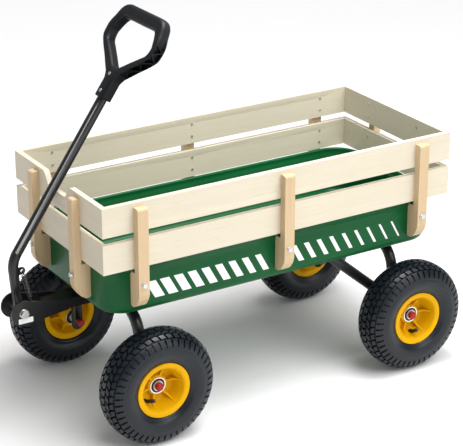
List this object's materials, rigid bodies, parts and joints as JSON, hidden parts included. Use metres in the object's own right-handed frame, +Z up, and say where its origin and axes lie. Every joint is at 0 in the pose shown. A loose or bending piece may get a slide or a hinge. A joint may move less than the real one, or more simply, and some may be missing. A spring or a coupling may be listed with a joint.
{
  "type": "pull wagon",
  "caption": "Pull wagon with a pressed steel tray, slatted wooden sides, air-filled wheels on bent-tube arches and a hinged steering handle with a loop grip.",
  "frame": {"origin": "on the ground, under the middle of the whole wagon with its handle parked", "axes": "+X forward, towards the drawbar and handle; +Y the wagon's left side; +Z up"},
  "size_m": [1.0444, 0.529, 0.8841],
  "materials": {
    "green_enamel": "smooth glossy stove enamel",
    "cream_wood": "planed slats with a thin cream stain",
    "tan_wood": "planed hardwood under clear lacquer",
    "zinc": "bright zinc plate",
    "bearing_steel": "polished pressed steel",
    "dark_screw": "dark phosphated steel",
    "spring_steel": "oiled spring wire",
    "red_plastic": "moulded, slightly glossy",
    "grip_plastic": "moulded, fine texture",
    "tyre_rubber": "matt moulded rubber",
    "yellow_enamel": "smooth glossy enamel",
    "black_enamel": "satin black powder coat"
  },
  "bodies": {
    "chassis": {"tray": "green_enamel", "slat_left_lower": "cream_wood", "slat_left_upper": "cream_wood", "slat_right_lower": "cream_wood", "slat_right_upper": "cream_wood", "board_front_lower": "cream_wood", "board_front_upper": "cream_wood", "board_rear_lower": "cream_wood", "board_rear_upper": "cream_wood", "post_left_front": "tan_wood", "post_left_middle": "tan_wood", "post_left_rear": "tan_wood", "post_right_front": "tan_wood", "post_right_middle": "tan_wood", "post_right_rear": "tan_wood", "post_front_left": "tan_wood", "post_front_right": "tan_wood", "post_rear_left": "tan_wood", "post_rear_right": "tan_wood", "post_bolts": "zinc", "post_nuts": "zinc", "slat_screws": "dark_screw", "rear_arch": "black_enamel", "rear_saddle": "black_enamel", "brace_left": "black_enamel", "brace_right": "black_enamel", "frame_studs": "zinc", "frame_nuts": "zinc", "turntable_upper": "black_enamel", "king_pin": "zinc", "king_nut": "zinc", "rear_axle_pins": "zinc", "rear_axle_caps": "red_plastic"},
    "steering": {"turntable_lower": "black_enamel", "front_arch": "black_enamel", "drawbar": "black_enamel", "fork_cheek_left": "black_enamel", "fork_cheek_right": "black_enamel", "fork_bolt": "zinc", "fork_nut": "zinc", "spring_anchor": "black_enamel", "return_spring": "spring_steel", "front_axle_pins": "zinc", "front_axle_caps": "red_plastic"},
    "handle": {"handle_tube": "black_enamel", "pivot_sleeve": "zinc", "grip": "grip_plastic", "grip_screws": "zinc"},
    "wheel_front_left": {"tyre_front_left": "tyre_rubber", "rim_front_left": "yellow_enamel", "bearings_front_left": "bearing_steel"},
    "wheel_front_right": {"tyre_front_right": "tyre_rubber", "rim_front_right": "yellow_enamel", "bearings_front_right": "bearing_steel"},
    "wheel_rear_left": {"tyre_rear_left": "tyre_rubber", "rim_rear_left": "yellow_enamel", "bearings_rear_left": "bearing_steel"},
    "wheel_rear_right": {"tyre_rear_right": "tyre_rubber", "rim_rear_right": "yellow_enamel", "bearings_rear_right": "bearing_steel"}
  },
  "joints": [
    {"name": "steering_swivel", "type": "hinge", "parent": "chassis", "child": "steering", "pos_m": [0.2812, 0, 0.265], "axis": [0, 0, 1], "range_deg": [-10, 10]},
    {"name": "handle_hinge", "type": "hinge", "parent": "steering", "child": "handle", "pos_m": [0.4932, 0, 0.271], "axis": [0, 1, 0], "range_deg": [0, 138], "stiffness_Nm_per_rad": 0.3, "deforming": ["return_spring"]},
    {"name": "wheel_front_left_spin", "type": "hinge", "parent": "steering", "child": "wheel_front_left", "pos_m": [0.2812, 0.222, 0.13], "axis": [0, 1, 0], "continuous": true},
    {"name": "wheel_front_right_spin", "type": "hinge", "parent": "steering", "child": "wheel_front_right", "pos_m": [0.2812, -0.222, 0.13], "axis": [0, 1, 0], "continuous": true},
    {"name": "wheel_rear_left_spin", "type": "hinge", "parent": "chassis", "child": "wheel_rear_left", "pos_m": [-0.3888, 0.222, 0.13], "axis": [0, 1, 0], "continuous": true},
    {"name": "wheel_rear_right_spin", "type": "hinge", "parent": "chassis", "child": "wheel_rear_right", "pos_m": [-0.3888, -0.222, 0.13], "axis": [0, 1, 0], "continuous": true}
  ]
}
